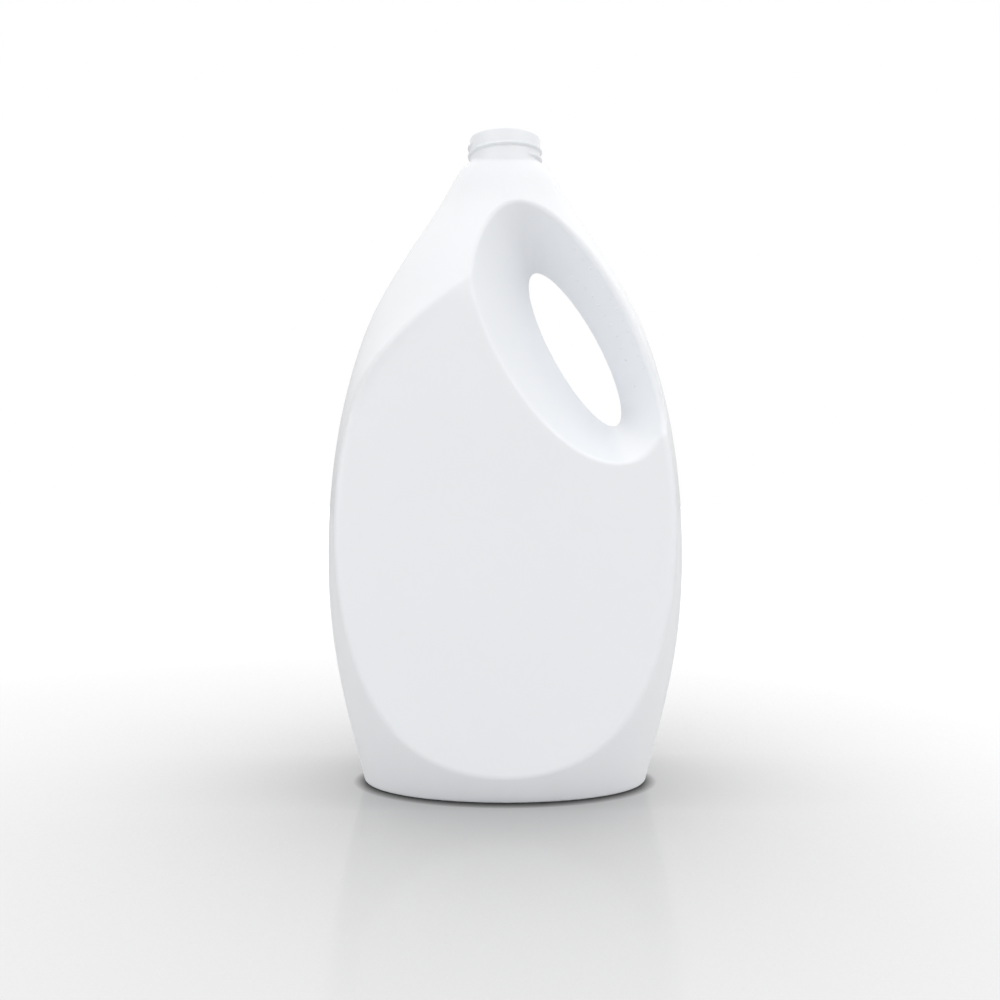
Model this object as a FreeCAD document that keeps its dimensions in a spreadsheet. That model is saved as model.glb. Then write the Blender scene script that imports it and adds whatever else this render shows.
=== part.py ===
# Three litre blow-moulded jerrycan with a hollow grip handle beside its neck.
# Millimetres. +Z up, +X towards the handle, the label panels face -Y and +Y.
# One moulding: an outer form less a cavity. The cavity is drawn from the same
# form and sizes, so the wall follows when a size in the sheet is changed.
import FreeCAD, Part
import math
import os

from FreeCAD import Vector

doc = FreeCAD.newDocument("Jerrycan")
dims = doc.addObject("Spreadsheet::Sheet", "Dims")

TINY = 1e-4  # edges closer than this lie at the same height or depth
NEAR = 0.01  # how near its true place a fitted curve lies
THREAD_SECTIONS = 24  # outlines lofted in each turn of the thread

# alias, value, what it sets
SIZES = [
    ("shoulder_height", "307", "floor to the ledge round the neck"),
    ("neck_height", "12.5", "ledge to lip"),
    ("panel_depth", "100", "between the two flat label panels"),
    ("body_wall", "1.2", "moulded wall of body and handle"),
    ("floor_wall", "1.8", "thicker moulded base"),
    ("panel_round", "3", "edge between panel and skirt or side"),
    ("brow_reach", "14", "height, below the top edge of a flat panel, of the part that leans in"),
    ("brow_round", "66", "bend of the panels as they lean in"),
    ("brow_lean", "26", "how far they lean in, degrees"),
    ("slab_clear", "1", "slab between the panels runs this far past foot and ledge"),
    ("foot_round", "2.5", "outer edge the bottle stands on"),
    ("rim_round", "1.5", "inner edge the bottle stands on"),
    ("rim_width", "12", "ring the bottle stands on, at the sides"),
    ("rim_depth", "7", "ring the bottle stands on, front and back"),
    ("push_up", "5", "rise of the hollow under the base"),
    ("neck_radius", "17.6", "outside of the neck, root of the thread"),
    ("neck_wall", "2.4", "thicker wall of the neck"),
    ("neck_sunk", "17", "neck and bore start this far below the ledge"),
    ("neck_fillet", "2", "hollow round at the root of the neck"),
    ("lip_round", "1.1", "outer edge of the lip"),
    ("bore_round", "0.5", "inner edge of the lip"),
    ("thread_height", "1", "crest above the neck wall"),
    ("thread_width", "2.6", "thread at its root, along the neck"),
    ("thread_crest", "0.9", "thread at its crest, along the neck"),
    ("thread_bulge", "0.15", "rounding of the crest"),
    ("thread_sunk", "0.3", "root of the thread inside the neck wall"),
    ("thread_pitch", "4.23", "rise in one turn"),
    ("thread_turns", "1.75", "length of the single start"),
    ("thread_fade", "0.09", "part of a turn in which an end fades out"),
    ("thread_bearing", "-57", "lower end, degrees round from +X"),
    ("thread_drop", "11.5", "lip down to the lower end"),
    ("hole_x", "35.1", "finger hole centre, from the neck axis"),
    ("hole_drop", "92.7", "finger hole centre, below the ledge"),
    ("hole_length", "85.7", "along its slant"),
    ("hole_width", "22.8", "across its slant"),
    ("hole_tilt", "28.9", "slant from upright, degrees"),
    ("hole_round", "1.5", "edge round the finger hole"),
    ("hole_land", "2.4", "solid pinch round the finger hole"),
    ("mouth_x", "26.9", "pocket mouth centre, from the neck axis"),
    ("mouth_drop", "75.7", "pocket mouth centre, below the ledge"),
    ("mouth_length", "164", "along its slant"),
    ("mouth_width", "83.2", "across its slant"),
    ("mouth_tilt", "23.1", "slant from upright, degrees"),
    ("mouth_clear", "5", "mouth is drawn this far outside the panel"),
    ("mouth_round", "2", "edge round the pocket mouth"),
    ("mouth_wall", "1.6", "pocket wall, measured level"),
]

# The full oval, before the panels are cut, at heights up from the floor or
# down from the ledge: name, from, distance, width, depth.
STATIONS = [
    ("foot", "up", "0", "139", "78"),
    ("skirt", "up", "14.5", "146", "100"),
    ("hip", "up", "53.5", "163", "155.2"),
    ("waist", "up", "85", "171", "189.8"),
    ("chest", "down", "162", "169.2", "225.8"),
    ("arm", "down", "136", "163", "212"),
    ("grip", "down", "117", "156", "186"),
    ("upper", "down", "97", "146.2", "142"),
    ("brow", "down", "77", "131.6", "111.6"),
    ("slope", "down", "57", "110", "91.2"),
    ("throat", "down", "37", "85", "68.4"),
    ("collar", "down", "19", "62", "50"),
    ("ledge", "down", "5.5", "46.8", "37.6"),
    ("corner", "down", "2.4", "42", "33.2"),
    ("crown", "down", "0", "32.8", "26"),
]


def fill_sheet():
    """Write every size into the sheet, one row each, and name its cell."""
    rows = list(SIZES)
    for name, start, distance, width, depth in STATIONS:
        rows.append((name + "_" + start, distance, name + " height, " + start))
        rows.append((name + "_width", width, name + " width"))
        rows.append((name + "_depth", depth, name + " depth of the full oval"))
    for row, (alias, value, note) in enumerate(rows, start=1):
        dims.set("A%d" % row, note)
        dims.set("B%d" % row, value)
        dims.setAlias("B%d" % row, alias)
    doc.recompute()


def size(alias):
    return float(dims.get(alias))


def primitive(kind, name, expressions):
    """Part primitive whose properties are bound to the sheet."""
    solid = doc.addObject("Part::" + kind, name)
    for prop, expression in expressions.items():
        solid.setExpression(prop, expression)
    return solid


def boolean(kind, name, base, tool):
    result = doc.addObject("Part::" + kind, name)
    result.Base = base
    result.Tool = tool
    result.Refine = False
    return result


def fuse(name, shapes):
    whole = doc.addObject("Part::MultiFuse", name)
    whole.Shapes = shapes
    whole.Refine = False
    return whole


def rounded(name, base, end_radii):
    """Round each edge of base for which end_radii(edge) gives two radii."""
    doc.recompute()
    picked = []
    for index, edge in enumerate(base.Shape.Edges, start=1):
        radii = end_radii(edge)
        if radii:
            picked.append((index, radii[0], radii[1]))
    result = doc.addObject("Part::Fillet", name)
    result.Base = base
    result.Edges = picked
    return result


def evenly(alias, chosen):
    """The same radius at both ends of every edge that chosen(edge) accepts."""
    return lambda edge: (size(alias), size(alias)) if chosen(edge) else None


def station_height(name, start):
    distance = size(name + "_" + start)
    return distance if start == "up" else size("shoulder_height") - distance


def profile():
    """Half width, half depth and height of the full oval at each station."""
    return [Vector(size(name + "_width") / 2, size(name + "_depth") / 2, station_height(name, start))
            for name, start, _, _, _ in STATIONS]


def side_curve():
    """Smooth curve through the stations."""
    curve = Part.BSplineCurve()
    curve.interpolate(profile())
    return curve


def panel_top(curve):
    """Height at which the shoulder has narrowed to the depth of the panels."""
    below = curve.parameter(max(profile(), key=lambda station: station.y))
    above = curve.LastParameter
    while above - below > TINY:
        middle = (above + below) / 2
        if curve.value(middle).y > size("panel_depth") / 2:
            below = middle
        else:
            above = middle
    return curve.value(below).z


def widest():
    return max(size(name + "_width") for name, _, _, _, _ in STATIONS)


def half_side(curve, side):
    """Half of the form's side, right (+1) or left (-1) of the plane X = 0."""
    # Half a circle as two quadratic arcs: corner poles, weights and knots.
    slant = math.sqrt(0.5)
    around = [(0, -1), (side, -1), (side, 0), (side, 1), (0, 1)]
    weights = [1, slant, 1, slant, 1]
    poles = []
    for x, y in around:
        poles.append([Vector(x * p.x, y * p.y, p.z) for p in curve.getPoles()])
    surface = Part.BSplineSurface()
    surface.buildFromPolesMultsKnots(
        poles, [3, 2, 3], curve.getMultiplicities(), [0, 1, 2], curve.getKnots(),
        False, False, 2, curve.Degree, [[weight] * curve.NbPoles for weight in weights])
    return surface.toShape()


def oval_form(curve):
    """Solid with an oval section at every height, smooth from foot to crown."""
    sides = [half_side(curve, 1), half_side(curve, -1)]
    ends = []
    for height in (0, size("shoulder_height")):
        level = [edge for half in sides for edge in half.Edges
                 if abs(edge.BoundBox.ZMin - height) < TINY and edge.BoundBox.ZLength < TINY]
        ends.append(Part.Face(Part.Wire(level)))
    shell = Part.Shell(sides + ends)
    shell.sewShape()
    form = doc.addObject("Part::Feature", "Oval")
    form.Shape = Part.Solid(shell)
    return form


def slab_outline(brow):
    """Right half of the slab's section across the panels: up the panel to the
    height of the brow, round its bend, and on up at the same lean."""
    face = size("panel_depth") / 2
    clear = size("slab_clear")
    bend = size("brow_round")
    lean = math.radians(size("brow_lean"))

    def on_bend(angle):
        return Vector(0, face - bend * (1 - math.cos(angle)), brow + bend * math.sin(angle))

    foot = Vector(0, face, -clear)
    rise = size("shoulder_height") + clear - on_bend(lean).z
    top = on_bend(lean) + Vector(0, -rise * math.tan(lean), rise)
    return [
        Part.makeLine(foot, on_bend(0)),
        Part.Arc(on_bend(0), on_bend(lean / 2), on_bend(lean)).toShape(),
        Part.makeLine(on_bend(lean), top)]


def slab(brow):
    """Space between the label panels, wider than the bottle."""
    right = Part.Wire(slab_outline(brow))
    left = right.mirror(Vector(0, 0, 0), Vector(0, 1, 0))
    ends = [Part.makeLine(one.Vertexes[tip].Point, other.Vertexes[tip].Point)
            for one, other, tip in ((right, left, 0), (right, left, -1))]
    outline = Part.Wire(Part.__sortEdges__(right.Edges + left.Edges + ends))
    across = Vector(size("hip_width"), 0, 0)
    block = doc.addObject("Part::Feature", "Slab")
    block.Shape = Part.Face(outline).translated(-across).extrude(2 * across)
    return block


def is_panel_edge(shape):
    """Test for the edges where a panel meets the oval side."""
    def test(edge):
        sorts = [type(face.Surface) for face in shape.ancestorsOfType(edge, Part.Face)]
        sides = sorts.count(Part.BSplineSurface)
        return sides == 1 and edge.BoundBox.ZLength > TINY
    return test


def faced_form():
    """Oval form with its two panels and their rounds."""
    curve = side_curve()
    brow = panel_top(curve) - size("brow_reach")
    faced = boolean("Common", "Faced", oval_form(curve), slab(brow))
    doc.recompute()
    return rounded("PanelRounds", faced, evenly("panel_round", is_panel_edge(faced.Shape)))


def shrunk(name, form):
    """The form drawn in on every side by the wall, and by the floor below."""
    doc.recompute()
    wall = size("body_wall")
    tall = size("shoulder_height")
    scale = FreeCAD.Matrix()
    scale.scale(
        1 - 2 * wall / widest(), 1 - 2 * wall / size("panel_depth"),
        (tall - wall - size("floor_wall")) / tall)
    scale.move(Vector(0, 0, size("floor_wall")))
    inner = doc.addObject("Part::Feature", name)
    inner.Shape = form.Shape.transformGeometry(scale)
    return inner


def ring(name, spot, y, growth):
    """Slanted ellipse of the pocket, upright in the plane at depth y."""
    return primitive("Ellipse", name, {
        "MajorRadius": "Dims.%s_length / 2 + %s" % (spot, growth),
        "MinorRadius": "Dims.%s_width / 2 + %s" % (spot, growth),
        "Placement": "placement(vector(Dims.%s_x; %s; Dims.shoulder_height - Dims.%s_drop); "
                     "rotation(vector(0; 1; 0); -90 - Dims.%s_tilt) "
                     "* rotation(vector(1; 0; 0); 90))" % (spot, y, spot, spot)})


def pocket(name, hole_growth, mouth_growth):
    """Funnel through the bottle: wide at both panels, narrow in the middle."""
    reach = "(Dims.panel_depth / 2 + Dims.mouth_clear)"
    funnel = doc.addObject("Part::Loft", name)
    funnel.Sections = [
        ring(name + "Front", "mouth", "-" + reach, mouth_growth),
        ring(name + "Middle", "hole", "0", hole_growth),
        ring(name + "Back", "mouth", reach, mouth_growth)]
    funnel.Solid = True
    funnel.Ruled = True
    return funnel


def is_hole_edge(edge):
    """True for the edge where the two funnels meet at the middle plane."""
    level = edge.BoundBox.YLength < TINY and abs(edge.BoundBox.YMax) < TINY
    return level and isinstance(edge.Curve, Part.Ellipse)


def mouth_edges(shape):
    """Keys of the edges between the pocket walls and the outside."""
    walls = []
    for edge in shape.Edges:
        if is_hole_edge(edge):
            walls += shape.ancestorsOfType(edge, Part.Face)
    wall_keys = [wall.hashCode() for wall in walls]
    keys = []
    for wall in walls:
        for edge in wall.Edges:
            faces = shape.ancestorsOfType(edge, Part.Face)
            if any(face.hashCode() not in wall_keys for face in faces):
                keys.append(edge.hashCode())
    return keys


def push_up(name, inset):
    """Shallow dome under the base. Its middle is one rise below the floor, so
    its section there is wider than at the floor by 1 / cos(30)."""
    half = "(Dims.foot_%s / 2 - Dims.rim_%s) / cos(30) + "
    return primitive("Ellipsoid", name, {
        "Radius1": "2 * Dims.push_up + " + inset,
        "Radius2": half % ("width", "width") + inset,
        "Radius3": half % ("depth", "depth") + inset,
        "Placement.Base.z": "-Dims.push_up"})


def neck_bar(name, radius):
    """Round bar on the neck axis, from inside the shoulder up to the lip."""
    return primitive("Cylinder", name, {
        "Radius": radius,
        "Height": "Dims.neck_sunk + Dims.neck_height",
        "Placement.Base.z": "Dims.shoulder_height - Dims.neck_sunk"})


def lip_height():
    return size("shoulder_height") + size("neck_height")


def thread_section(turn, fade):
    """Outline of the thread after so many turns. At a fade of 0 it sinks into
    the wall, with its crest kept just clear of its root."""
    sunk = size("thread_sunk")
    root = size("neck_radius") - sunk
    bulge = size("thread_bulge")
    crest = root + fade * (size("thread_height") + sunk - bulge)
    middle = lip_height() - size("thread_drop") + turn * size("thread_pitch")
    foot = size("thread_width") / 2
    tip = size("thread_crest") / 2
    bearing = math.radians(size("thread_bearing") + 360 * turn)
    out = Vector(math.cos(bearing), math.sin(bearing), 0)
    corners = []
    for radius, rise in ((root, -foot), (crest + TINY, -tip), (crest + TINY, tip), (root, foot)):
        corners.append(out * radius + Vector(0, 0, middle + rise))
    outmost = out * (crest + bulge) + Vector(0, 0, middle)
    return Part.Wire([
        Part.makeLine(corners[0], corners[1]),
        Part.Arc(corners[1], outmost, corners[2]).toShape(),
        Part.makeLine(corners[2], corners[3]),
        Part.makeLine(corners[3], corners[0])])


def thread(name):
    """Single raised start round the neck, fading out at both ends."""
    steps = int(THREAD_SECTIONS * size("thread_turns"))
    sections = []
    for step in range(steps + 1):
        turn = size("thread_turns") * step / steps
        from_end = min(turn, size("thread_turns") - turn)
        fade = min(1.0, from_end / size("thread_fade"))
        sections.append(thread_section(turn, math.sin(fade * math.pi / 2)))
    ridge = doc.addObject("Part::Feature", name)
    ridge.Shape = Part.makeLoft(sections, True, False)
    return ridge


def outside(form):
    """Outside of the moulding, without the neck opening."""
    body = boolean("Cut", "Pocketed", form, pocket("Pocket", "0", "0"))
    doc.recompute()
    mouth = mouth_edges(body.Shape)
    body = rounded("MouthRounds", body, evenly("mouth_round", lambda e: e.hashCode() in mouth))
    body = rounded("HoleRounds", body, evenly("hole_round", is_hole_edge))
    body = boolean("Cut", "Hollowed", body, push_up("PushUp", "0"))
    body = rounded("FootRounds", body, evenly("foot_round", is_foot_edge))
    body = rounded("RimRounds", body, evenly("rim_round", is_rim_edge))
    body = fuse("Necked", [body, neck_bar("Neck", "Dims.neck_radius")])
    body = rounded("NeckRounds", body, evenly("neck_fillet", is_neck_root))
    return fuse("Threaded", [body, thread("Thread")])


def reach_of(edge):
    return max(edge.BoundBox.XMax, -edge.BoundBox.XMin)


def on_floor(edge):
    return edge.BoundBox.ZMax < TINY and edge.BoundBox.ZLength < TINY


def is_foot_edge(edge):
    """Outer of the two ovals the bottle stands between, in halves."""
    return on_floor(edge) and reach_of(edge) > (size("foot_width") - size("rim_width")) / 2


def is_rim_edge(edge):
    """Inner of the two ovals."""
    return on_floor(edge) and reach_of(edge) < (size("foot_width") - size("rim_width")) / 2


def is_neck_root(edge):
    """Edge where the neck leaves the shoulder: round in plan, not level."""
    start = edge.valueAt(edge.FirstParameter)
    on_neck = abs(math.hypot(start.x, start.y) - size("neck_radius")) < NEAR
    return on_neck and edge.BoundBox.ZLength > TINY and edge.BoundBox.YLength > NEAR


def cavity(form):
    """Inside of the bottle, handle and neck."""
    room = shrunk("Room", form)
    room = boolean("Cut", "RoomPocketed", room,
                   pocket("InnerPocket", "Dims.hole_land", "Dims.mouth_wall"))
    room = boolean("Cut", "RoomHollowed", room, push_up("InnerPushUp", "Dims.floor_wall"))
    return fuse("Cavity", [room, neck_bar("Bore", "Dims.neck_radius - Dims.neck_wall")])


def is_lip_edge(radius):
    """Level circle of the given radius at the lip."""
    def test(edge):
        box = edge.BoundBox
        return abs(box.ZMin - lip_height()) < TINY and abs(box.XMax - radius) < NEAR
    return test


def bottle():
    """The finished moulding."""
    form = faced_form()
    shell = boolean("Cut", "Shell", outside(form), cavity(form))
    outer = size("neck_radius")
    inner = outer - size("neck_wall")
    shell = rounded("LipRound", shell, evenly("lip_round", is_lip_edge(outer)))
    whole = rounded("BoreRound", shell, evenly("bore_round", is_lip_edge(inner)))
    whole.Label = "bottle"
    return whole


def check(objects):
    """Stop if anything failed to build."""
    doc.recompute()
    for item in objects:
        states = [state for state in item.State if state in ("Invalid", "Error")]
        if states:
            raise RuntimeError("%s is %s" % (item.Label, states))
        if hasattr(item, "Shape") and (item.Shape.isNull() or not item.Shape.isValid()):
            raise RuntimeError("%s has no valid shape" % item.Label)


fill_sheet()
pieces = [bottle()]
check(doc.Objects)
os.makedirs("parts", exist_ok=True)
for piece in pieces:
    piece.Shape.exportStep("parts/%s.step" % piece.Label)
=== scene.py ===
import math
import bpy
import bmesh
from mathutils import Matrix, Vector
from mathutils.bvhtree import BVHTree


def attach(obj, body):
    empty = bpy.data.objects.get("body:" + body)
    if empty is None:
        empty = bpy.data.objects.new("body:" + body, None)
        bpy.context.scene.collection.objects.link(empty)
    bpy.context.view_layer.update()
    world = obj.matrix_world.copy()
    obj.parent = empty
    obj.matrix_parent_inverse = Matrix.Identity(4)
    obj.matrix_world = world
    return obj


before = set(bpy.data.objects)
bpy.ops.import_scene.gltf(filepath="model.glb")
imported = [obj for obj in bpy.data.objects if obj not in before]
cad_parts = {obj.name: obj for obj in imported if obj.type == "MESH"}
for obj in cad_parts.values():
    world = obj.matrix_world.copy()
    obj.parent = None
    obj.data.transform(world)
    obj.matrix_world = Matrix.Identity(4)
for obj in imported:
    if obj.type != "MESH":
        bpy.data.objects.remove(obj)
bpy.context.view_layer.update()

# Every length below is in metres.


# ---------------------------------------------------------------- shader helpers
def new_material(name):
    """Material with one fresh shader joined to its output."""
    mat = bpy.data.materials.new(name)
    mat.use_nodes = True
    tree = mat.node_tree
    tree.nodes.clear()
    out = tree.nodes.new("ShaderNodeOutputMaterial")
    shader = tree.nodes.new("ShaderNodeBsdfPrincipled")
    tree.links.new(shader.outputs["BSDF"], out.inputs["Surface"])
    return mat, tree, shader, out


def set_sockets(node, values):
    """Plain values on a node's own sockets, by socket name."""
    for name, value in values.items():
        node.inputs[name].default_value = value


def math_node(tree, operation, *values):
    """One Math node; each value is a number or another node's output."""
    node = tree.nodes.new("ShaderNodeMath")
    node.operation = operation
    for socket, value in zip(node.inputs, values):
        if isinstance(value, (int, float)):
            socket.default_value = value
        else:
            tree.links.new(value, socket)
    return node.outputs[0]


def object_place(tree):
    """Position in the object's own metres, whole and split into x, y and z."""
    place = tree.nodes.new("ShaderNodeTexCoord").outputs["Object"]
    split = tree.nodes.new("ShaderNodeSeparateXYZ")
    tree.links.new(place, split.inputs[0])
    return place, split.outputs


def noise(tree, vector, scale, detail):
    """Cloudy noise, with the scale in cycles a metre."""
    node = tree.nodes.new("ShaderNodeTexNoise")
    set_sockets(node, {"Scale": scale, "Detail": detail})
    tree.links.new(vector, node.inputs["Vector"])
    return node.outputs["Fac"]


def step(tree, value, start, end):
    """0 up to the start, changing smoothly to 1 at the end, which may be the lower of the two."""
    node = tree.nodes.new("ShaderNodeMapRange")
    node.interpolation_type = "SMOOTHSTEP"
    set_sockets(node, {"From Min": start, "From Max": end})
    tree.links.new(value, node.inputs["Value"])
    return node.outputs["Result"]


def spread(tree, fac, low, high):
    """A factor of 0 to 1 turned into a number from low to high."""
    node = tree.nodes.new("ShaderNodeMapRange")
    set_sockets(node, {"To Min": low, "To Max": high})
    tree.links.new(fac, node.inputs["Value"])
    return node.outputs["Result"]


def blend(tree, fac, a, b):
    """A colour from a to b as the factor goes from 0 to 1."""
    node = tree.nodes.new("ShaderNodeMix")
    node.data_type = "RGBA"
    set_sockets(node, {"A": (*a, 1), "B": (*b, 1)})
    tree.links.new(fac, node.inputs["Factor"])
    return node.outputs["Result"]


def mix_shaders(tree, fac, first, second):
    """The first shader where the factor is 0, the second where it is 1."""
    node = tree.nodes.new("ShaderNodeMixShader")
    tree.links.new(fac, node.inputs["Fac"])
    tree.links.new(first, node.inputs[1])
    tree.links.new(second, node.inputs[2])
    return node.outputs["Shader"]


def openness(tree, reach, samples):
    """1 in the open, falling to 0 where other surfaces close in within the reach."""
    node = tree.nodes.new("ShaderNodeAmbientOcclusion")
    node.samples = samples
    set_sockets(node, {"Distance": reach})
    return node.outputs["AO"]


def camera_sees(tree):
    """1 for rays straight from the camera, 0 for the rays that light the object."""
    return tree.nodes.new("ShaderNodeLightPath").outputs["Is Camera Ray"]


# ---------------------------------------------------------------------- plastic
# rim of the hand pocket, an ellipse seen from the front
POCKET_X = 0.0269
POCKET_Z = 0.2313
POCKET_HALF_LENGTH = 0.082
POCKET_HALF_WIDTH = 0.0416
POCKET_TILT = math.radians(23.1)

# how far normals are rounded: everywhere, how much more from the pocket's rim outwards, and
# how much more again along the brow
EDGE_SOFTNESS = 0.0012
RIM_SOFTNESS = 0.0010
BROW_SOFTNESS = 0.0045
BEVEL_SAMPLES = 4

# where that softness fades in: heights, depths from the middle, and shares of the pocket's rim
NECK_FADE = (0.305, 0.290)
RIM_FADE = (0.74, 0.84)
BROW_HEIGHT_FADE = (0.150, 0.200)
BROW_DEPTH_FADE = (0.010, 0.024)
BROW_CLEAR_FADE = (0.99, 1.12)

# tints, gloss and relief of the moulded plastic; a noise is cycles a metre, then detail
CLOUD_NOISE = (16.0, 3.0)
PEEL_NOISE = (380.0, 2.0)
GRAIN_NOISE = (2400.0, 1.0)
GRAIN_SHARE = 0.2
WHITES = ((0.884, 0.902, 0.931), (0.904, 0.922, 0.950))
ROUGHNESS = (0.36, 0.46)
SATIN = {"IOR": 1.5, "Coat Weight": 0.45, "Coat Roughness": 0.12, "Coat IOR": 1.5,
         "Subsurface Radius": (1.0, 1.0, 1.0), "Subsurface Scale": 0.002}
TRANSLUCENCY = 0.2
RELIEF = {"Strength": 0.35, "Distance": 0.00006}

# the mould's parting line: a faint ridge where y is 0, with its height in parts of the peel's
SEAM_FADE = (0.00045, 0.00015)
SEAM_HEIGHT = 5.0


def from_pocket(tree, axes):
    """Distance from the pocket's middle in parts of its rim: 1 on the rim."""
    across = math_node(tree, "SUBTRACT", axes["X"], POCKET_X)
    up = math_node(tree, "SUBTRACT", axes["Z"], POCKET_Z)
    sine, cosine = math.sin(POCKET_TILT), math.cos(POCKET_TILT)
    parts = []
    for x_share, z_share, half in ((-sine, cosine, POCKET_HALF_LENGTH),
                                   (cosine, sine, POCKET_HALF_WIDTH)):
        part = math_node(tree, "MULTIPLY_ADD", up, z_share / half,
                         math_node(tree, "MULTIPLY", across, x_share / half))
        parts.append(math_node(tree, "POWER", math_node(tree, "ABSOLUTE", part), 2.0))
    return math_node(tree, "SQRT", math_node(tree, "ADD", *parts))


def soft_corners(tree, axes):
    """Normals rounded a little on the neck and inside the pocket, more from the pocket's rim
    outwards, and most along the brow, where the panel leans back into the shoulder."""
    under_neck = step(tree, axes["Z"], *NECK_FADE)
    pocket = from_pocket(tree, axes)
    rim = math_node(tree, "MULTIPLY", step(tree, pocket, *RIM_FADE), under_neck)

    high = step(tree, axes["Z"], *BROW_HEIGHT_FADE)
    clear = step(tree, pocket, *BROW_CLEAR_FADE)
    face = step(tree, math_node(tree, "ABSOLUTE", axes["Y"]), *BROW_DEPTH_FADE)
    brow = math_node(tree, "MULTIPLY", math_node(tree, "MULTIPLY", high, clear),
                     math_node(tree, "MULTIPLY", face, under_neck))
    radius = math_node(tree, "MULTIPLY_ADD", rim, RIM_SOFTNESS, EDGE_SOFTNESS)
    radius = math_node(tree, "MULTIPLY_ADD", brow, BROW_SOFTNESS, radius)
    bevel = tree.nodes.new("ShaderNodeBevel")
    bevel.samples = BEVEL_SAMPLES
    tree.links.new(radius, bevel.inputs["Radius"])
    return bevel.outputs["Normal"]


def plastic_material(name, rounded=True):
    """Natural white blow-moulded polyethylene: satin, with a fine orange peel.

    Rounded adds the soft corners and a little translucency."""
    mat, tree, shader, _ = new_material(name)
    place, axes = object_place(tree)
    cloud = noise(tree, place, *CLOUD_NOISE)
    peel = noise(tree, place, *PEEL_NOISE)
    grain = noise(tree, place, *GRAIN_NOISE)
    tree.links.new(blend(tree, cloud, *WHITES), shader.inputs["Base Color"])
    tree.links.new(spread(tree, peel, *ROUGHNESS), shader.inputs["Roughness"])
    set_sockets(shader, SATIN)
    set_sockets(shader, {"Subsurface Weight": TRANSLUCENCY if rounded else 0.0})

    seam = step(tree, math_node(tree, "ABSOLUTE", axes["Y"]), *SEAM_FADE)
    texture = math_node(tree, "MULTIPLY_ADD", grain, GRAIN_SHARE, peel)
    height = math_node(tree, "MULTIPLY_ADD", seam, SEAM_HEIGHT, texture)
    bump = tree.nodes.new("ShaderNodeBump")
    set_sockets(bump, RELIEF)
    tree.links.new(height, bump.inputs["Height"])
    if rounded:
        tree.links.new(soft_corners(tree, axes), bump.inputs["Normal"])
    tree.links.new(bump.outputs["Normal"], shader.inputs["Normal"])
    return mat


# ----------------------------------------------------------------------- bottle
PLASTIC = plastic_material("white_plastic")
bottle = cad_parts["bottle"]
bottle.data.materials.clear()
bottle.data.materials.append(PLASTIC)


# ------------------------------------------------------------------- grip bumps
# two curved rows on the inner side of the handle: first, control and last point, x and z
GRIP_ROWS = (((0.0335, 0.2590), (0.0538, 0.2365), (0.0650, 0.2020)),
             ((0.0318, 0.2503), (0.0528, 0.2316), (0.0623, 0.1945)))
BUMPS_PER_ROW = 12
BUMP_RADIUS = 0.0009
BUMP_SUNK = 0.0006
BUMP_SEGMENTS = 16
BUMP_RINGS = 10
OUTSIDE_Y = 0.08

# domes this small come out wrong with rounded normals and translucency: theirs has neither
BUMP_PLASTIC = plastic_material("white_plastic_bumps", rounded=False)


def along_row(row, share):
    """Point at a share of the way along a row, on a quadratic curve through its ends."""
    first, control, last = (Vector(point) for point in row)
    return first.lerp(control, share).lerp(control.lerp(last, share), share)


def grip_bumps(surface):
    """Small domes moulded on both faces of the handle, for grip."""
    mesh = bmesh.new()
    for row in GRIP_ROWS:
        for i in range(BUMPS_PER_ROW):
            x, z = along_row(row, i / (BUMPS_PER_ROW - 1))
            for side in (-1, 1):
                start = Vector((x, side * OUTSIDE_Y, z))
                hit, normal, _, _ = surface.ray_cast(start, Vector((0, -side, 0)))
                turn = normal.to_track_quat("Z", "Y").to_matrix().to_4x4()
                middle = Matrix.Translation(hit - BUMP_SUNK * normal)
                bmesh.ops.create_uvsphere(mesh, u_segments=BUMP_SEGMENTS,
                                          v_segments=BUMP_RINGS,
                                          radius=BUMP_RADIUS, matrix=middle @ turn)
    for face in mesh.faces:
        face.smooth = True
    data = bpy.data.meshes.new("grip_bumps")
    mesh.to_mesh(data)
    mesh.free()
    obj = bpy.data.objects.new("grip_bumps", data)
    bpy.context.scene.collection.objects.link(obj)
    obj.data.materials.append(BUMP_PLASTIC)
    return obj


bpy.context.view_layer.update()
moulded = BVHTree.FromObject(bottle, bpy.context.evaluated_depsgraph_get())
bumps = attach(grip_bumps(moulded), "root")


# ------------------------------------------------------------------------ floor
FLOOR_HALF = 20.0
MOTTLE_NOISE = (6.0, 2.0)

# what the light meets, and what the camera looks at
FLOOR_GREYS = (0.635, 0.645)
FLOOR_GLOSS = {"Roughness": 0.2, "IOR": 1.8}
SEEN_GREYS = (0.295, 0.305)
SEEN_GLOSS = {"Roughness": 0.12, "IOR": 1.5, "Emission Color": (1, 1, 1, 1)}
# near-black painted on the floor as the shadow line under the bottle's foot
CONTACT_SHADOW_PAINT = (0.03, 0.03, 0.03, 1)

# the floor's own glow where the camera looks, painted light: always, more in the open, more again
# away from the bottle, which leaves painted shade round the bottle
BASE_LIGHT = 0.12
OPEN_LIGHT = 0.40
FAR_LIGHT = 0.40
FAR_FADE = (0.45, 1.6)

# painted shade round the bottle and the painted shadow line under its foot: reach, samples,
# falloff
SHADE_REACH, SHADE_SAMPLES, SHADE_FALLOFF = 0.4, 16, 4.0
CONTACT_REACH, CONTACT_SAMPLES, CONTACT_FALLOFF = 0.006, 12, 1.6


def grey_mottle(tree, mottle, greys):
    """Grey that wanders between two close values."""
    return blend(tree, mottle, *((grey,) * 3 for grey in greys))


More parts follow.
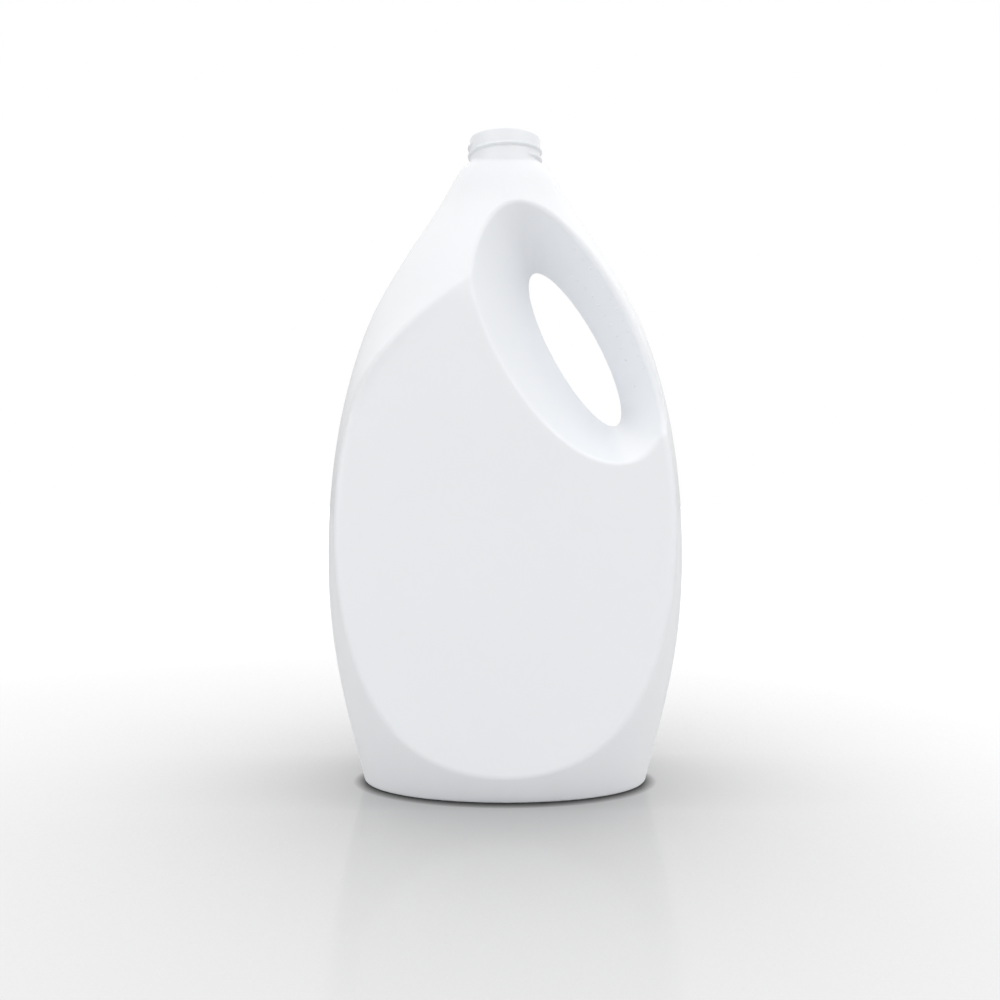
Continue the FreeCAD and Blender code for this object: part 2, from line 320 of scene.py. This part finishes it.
def floor_glow_and_painted_shade(tree, place):
    """Strength of the floor's own glow, which takes it out to plain white; painted light, dimmed
    by occlusion into painted shade near the bottle.
    """
    shade = math_node(tree, "POWER", openness(tree, SHADE_REACH, SHADE_SAMPLES),
                      SHADE_FALLOFF)
    near_light = math_node(tree, "MULTIPLY_ADD", shade, OPEN_LIGHT, BASE_LIGHT)
    away = tree.nodes.new("ShaderNodeVectorMath")
    away.operation = "LENGTH"
    tree.links.new(place, away.inputs[0])
    far = step(tree, away.outputs["Value"], *FAR_FADE)
    return math_node(tree, "ADD", near_light, math_node(tree, "MULTIPLY", far, FAR_LIGHT))


def floor_material():
    """Pale, slightly glossy sweep that runs out to plain white where the camera looks, with
    painted shade round the bottle and a painted shadow line under its foot.
    """
    mat, tree, shader, out = new_material("floor")
    place, _ = object_place(tree)
    mottle = noise(tree, place, *MOTTLE_NOISE)
    tree.links.new(grey_mottle(tree, mottle, FLOOR_GREYS), shader.inputs["Base Color"])
    set_sockets(shader, FLOOR_GLOSS)

    seen = tree.nodes.new("ShaderNodeBsdfPrincipled")
    tree.links.new(grey_mottle(tree, mottle, SEEN_GREYS), seen.inputs["Base Color"])
    set_sockets(seen, SEEN_GLOSS)
    tree.links.new(floor_glow_and_painted_shade(tree, place), seen.inputs["Emission Strength"])

    # painted shadow: near-black mixed in where the foot closes in on the floor, for the camera
    # only
    painted_shadow = tree.nodes.new("ShaderNodeBsdfDiffuse")
    set_sockets(painted_shadow, {"Color": CONTACT_SHADOW_PAINT})
    clear = math_node(tree, "POWER", openness(tree, CONTACT_REACH, CONTACT_SAMPLES),
                      CONTACT_FALLOFF)
    with_painted_shadow = mix_shaders(tree, clear, painted_shadow.outputs["BSDF"], seen.outputs["BSDF"])
    tree.links.new(mix_shaders(tree, camera_sees(tree), shader.outputs["BSDF"], with_painted_shadow),
                   out.inputs["Surface"])
    return mat


def floor_plane():
    """Large square that the bottle stands on."""
    mesh = bpy.data.meshes.new("floor")
    corners = [(x * FLOOR_HALF, y * FLOOR_HALF, 0.0)
               for x, y in ((-1, -1), (1, -1), (1, 1), (-1, 1))]
    mesh.from_pydata(corners, [], [(0, 1, 2, 3)])
    obj = bpy.data.objects.new("floor", mesh)
    bpy.context.scene.collection.objects.link(obj)
    obj.data.materials.append(floor_material())
    return obj


floor = floor_plane()


# ------------------------------------------------------------------------ light
# soft light: the side it comes from, how tightly, how strong
SOFT_LIGHT = (((0, 0, 1), 1, 1.34), ((0, 1, 0), 1, 0.50), ((1, 0, 0), 1, 0.34),
              ((-1, -1, 0), 6, 1.70), ((1, -1, 0), 6, 1.22))
WHITE = (1, 1, 1, 1)


def soft_light(tree):
    """Strength of the light from each direction: the sum of the soft sources."""
    direction = tree.nodes.new("ShaderNodeTexCoord").outputs["Generated"]
    total = 0.0
    for source, tightness, strength in SOFT_LIGHT:
        dot = tree.nodes.new("ShaderNodeVectorMath")
        dot.operation = "DOT_PRODUCT"
        tree.links.new(direction, dot.inputs[0])
        dot.inputs[1].default_value = Vector(source).normalized()
        facing = math_node(tree, "MAXIMUM", dot.outputs["Value"], 0.0)
        lobe = math_node(tree, "POWER", facing, tightness)
        total = math_node(tree, "MULTIPLY_ADD", lobe, strength, total)
    return total


def studio_world():
    """White room: plain white where the camera looks, soft light on the object."""
    world = bpy.data.worlds.new("studio")
    world.use_nodes = True
    tree = world.node_tree
    tree.nodes.clear()
    out = tree.nodes.new("ShaderNodeOutputWorld")
    lit = tree.nodes.new("ShaderNodeBackground")
    seen = tree.nodes.new("ShaderNodeBackground")
    set_sockets(lit, {"Color": WHITE})
    tree.links.new(soft_light(tree), lit.inputs["Strength"])
    set_sockets(seen, {"Color": WHITE, "Strength": 1.0})
    tree.links.new(mix_shaders(tree, camera_sees(tree), lit.outputs["Background"],
                               seen.outputs["Background"]), out.inputs["Surface"])
    return world


bpy.context.scene.world = studio_world()


# ----------------------------------------------------------------------- camera
CAMERA_PLACE = (-0.0025, -0.486, 0.1395)
CAMERA_TURN = (math.radians(90), 0, 0)

lens = bpy.data.cameras.new("camera")
lens.sensor_width = 36.0
lens.lens = 35.0
lens.clip_start = 0.01
camera = bpy.data.objects.new("camera", lens)
bpy.context.scene.collection.objects.link(camera)
camera.location = CAMERA_PLACE
camera.rotation_euler = CAMERA_TURN
bpy.context.scene.camera = camera
bpy.context.scene.view_settings.view_transform = "Standard"
